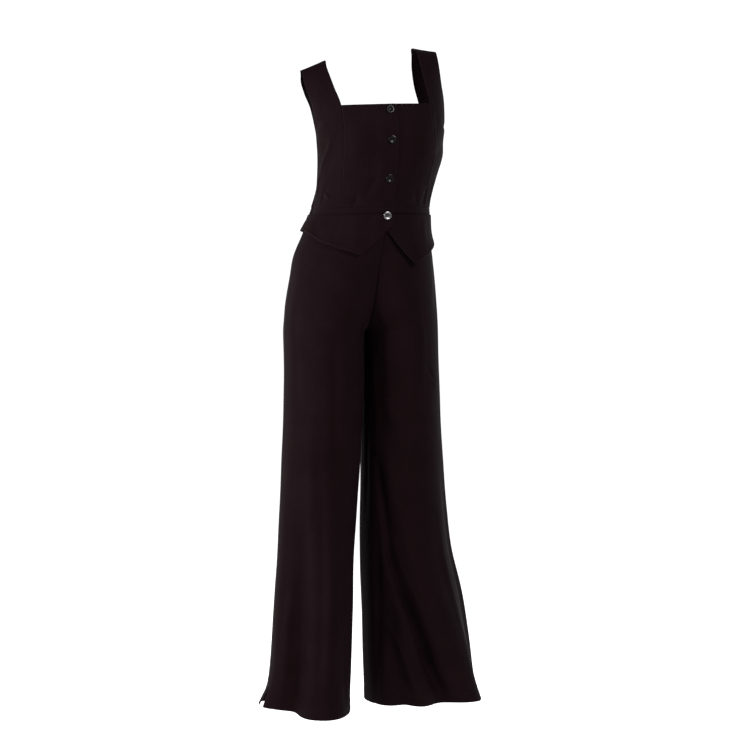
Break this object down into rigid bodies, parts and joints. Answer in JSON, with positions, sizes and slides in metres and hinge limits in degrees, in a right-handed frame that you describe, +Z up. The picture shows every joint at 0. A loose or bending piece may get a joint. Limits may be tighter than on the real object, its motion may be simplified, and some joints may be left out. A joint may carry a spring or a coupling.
{
  "type": "jumpsuit",
  "caption": "Sleeveless square-necked jumpsuit with a buttoned waistcoat front, pointed peplum and wide straight trouser legs, in worn form",
  "frame": {"origin": "between the two shoulder straps, on the line where the shoulders carry them", "axes": "+Z up, the garment's front faces -Y, the wearer's left is +X"},
  "size_m": [0.5063, 0.2452, 1.4458],
  "materials": {
    "crepe": "matte black stretch crepe with a faint warm tint",
    "black_button": "polished black resin",
    "metal_button": "bright silver metal with a darker middle"
  },
  "bodies": {
    "root": {"front_centre_right": "crepe", "front_centre_left": "crepe", "front_side_right": "crepe", "front_side_left": "crepe", "back_bodice": "crepe", "waistband_front_right": "crepe", "waistband_front_left": "crepe", "waistband_back": "crepe", "peplum_front_right": "crepe", "peplum_front_left": "crepe", "peplum_back": "crepe", "trouser_front_right": "crepe", "trouser_back_right": "crepe", "trouser_front_left": "crepe", "trouser_back_left": "crepe", "button_1": "black_button", "button_2": "black_button", "button_3": "black_button", "button_waist": "metal_button"}
  },
  "joints": []
}
